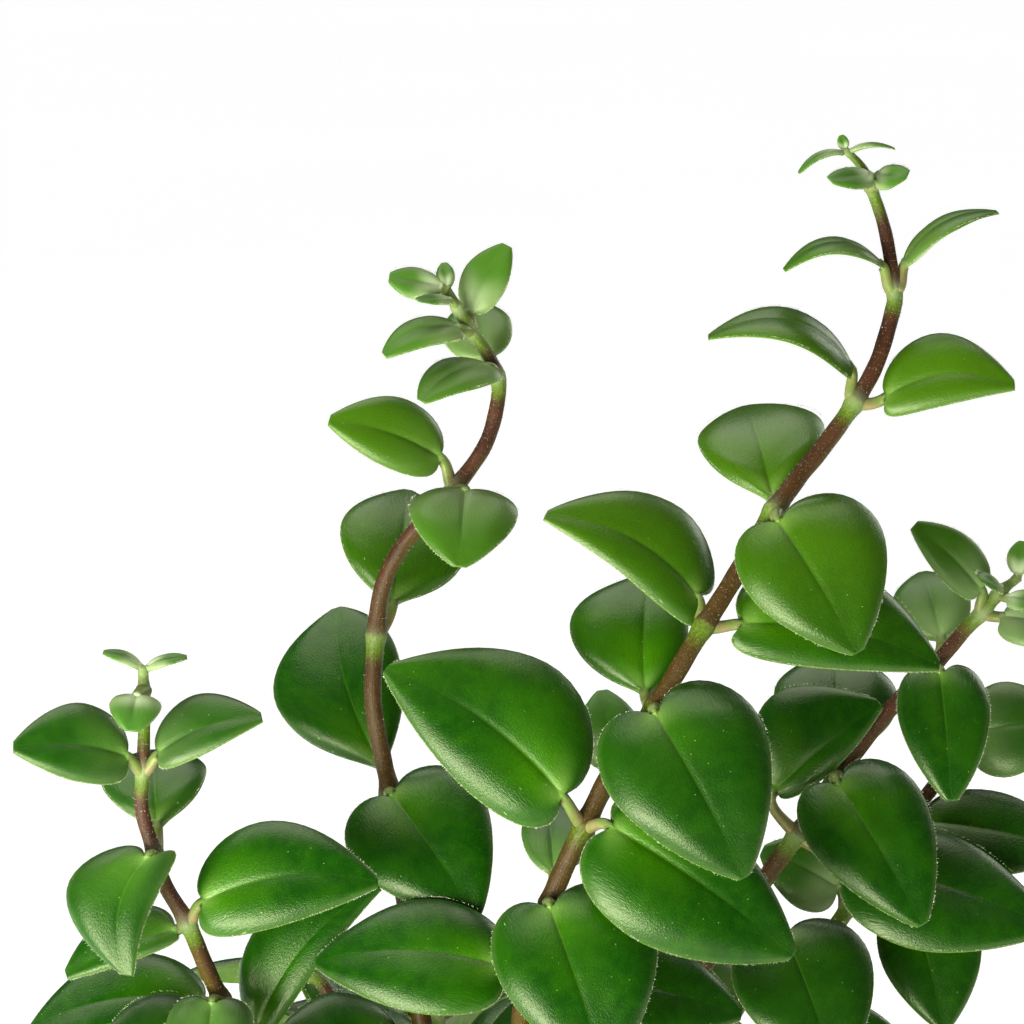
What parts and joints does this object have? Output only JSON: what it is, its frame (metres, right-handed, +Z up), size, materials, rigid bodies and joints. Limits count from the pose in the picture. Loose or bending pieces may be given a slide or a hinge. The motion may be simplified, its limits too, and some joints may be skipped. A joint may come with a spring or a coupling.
{
  "type": "potted lipstick plant",
  "caption": "Bushy trailing house plant with arching shoots of paired, thick, heart-shaped leaves, rooted in soil in a plain tapered clay pot.",
  "frame": {"origin": "centre of the pot's underside, on the surface that the pot stands on", "axes": "+Z up; -Y towards the side that the picture shows; +X to that view's right"},
  "size_m": [0.2265, 0.2073, 0.3555],
  "materials": {
    "clay": "matte",
    "soil": "matte",
    "stem": "satin",
    "leaf": "satin",
    "shoot": "satin"
  },
  "bodies": {
    "root": {"pot": "clay", "soil": "soil", "left_shoot_stem": "stem", "left_shoot_leaf_1": "leaf", "left_shoot_leaf_2": "leaf", "left_shoot_leaf_3": "leaf", "left_shoot_leaf_4": "leaf", "left_shoot_leaf_5": "leaf", "left_shoot_leaf_6": "leaf", "left_shoot_leaf_7": "leaf", "left_shoot_leaf_8": "leaf", "left_shoot_leaf_9": "leaf", "left_shoot_leaf_10": "leaf", "left_shoot_leaf_11": "leaf", "middle_shoot_stem": "stem", "middle_shoot_leaf_1": "leaf", "middle_shoot_leaf_2": "leaf", "middle_shoot_leaf_3": "leaf", "middle_shoot_leaf_4": "leaf", "middle_shoot_leaf_5": "leaf", "middle_shoot_leaf_6": "leaf", "middle_shoot_leaf_7": "leaf", "middle_shoot_leaf_8": "leaf", "middle_shoot_leaf_9": "leaf", "middle_shoot_leaf_10": "leaf", "tall_shoot_stem": "stem", "tall_shoot_leaf_1": "leaf", "tall_shoot_leaf_2": "leaf", "tall_shoot_leaf_3": "leaf", "tall_shoot_leaf_4": "leaf", "tall_shoot_leaf_5": "leaf", "tall_shoot_leaf_6": "leaf", "tall_shoot_leaf_7": "leaf", "tall_shoot_leaf_8": "leaf", "tall_shoot_leaf_9": "leaf", "tall_shoot_leaf_10": "leaf", "tall_shoot_leaf_11": "leaf", "tall_shoot_leaf_12": "leaf", "tall_shoot_leaf_13": "leaf", "tall_shoot_leaf_14": "leaf", "tall_shoot_leaf_15": "leaf", "tall_shoot_leaf_16": "leaf", "right_shoot_stem": "stem", "right_shoot_leaf_1": "leaf", "right_shoot_leaf_2": "leaf", "right_shoot_leaf_3": "leaf", "right_shoot_leaf_4": "leaf", "right_shoot_leaf_5": "leaf", "right_shoot_leaf_6": "leaf", "right_shoot_leaf_7": "leaf", "right_shoot_leaf_8": "leaf", "right_shoot_leaf_9": "leaf", "back_right_shoot": "shoot", "back_middle_shoot": "shoot", "front_left_shoot": "shoot", "front_shoot": "shoot", "front_right_shoot": "shoot", "right_low_shoot": "shoot", "back_left_shoot": "shoot", "left_low_shoot": "shoot"}
  },
  "joints": []
}
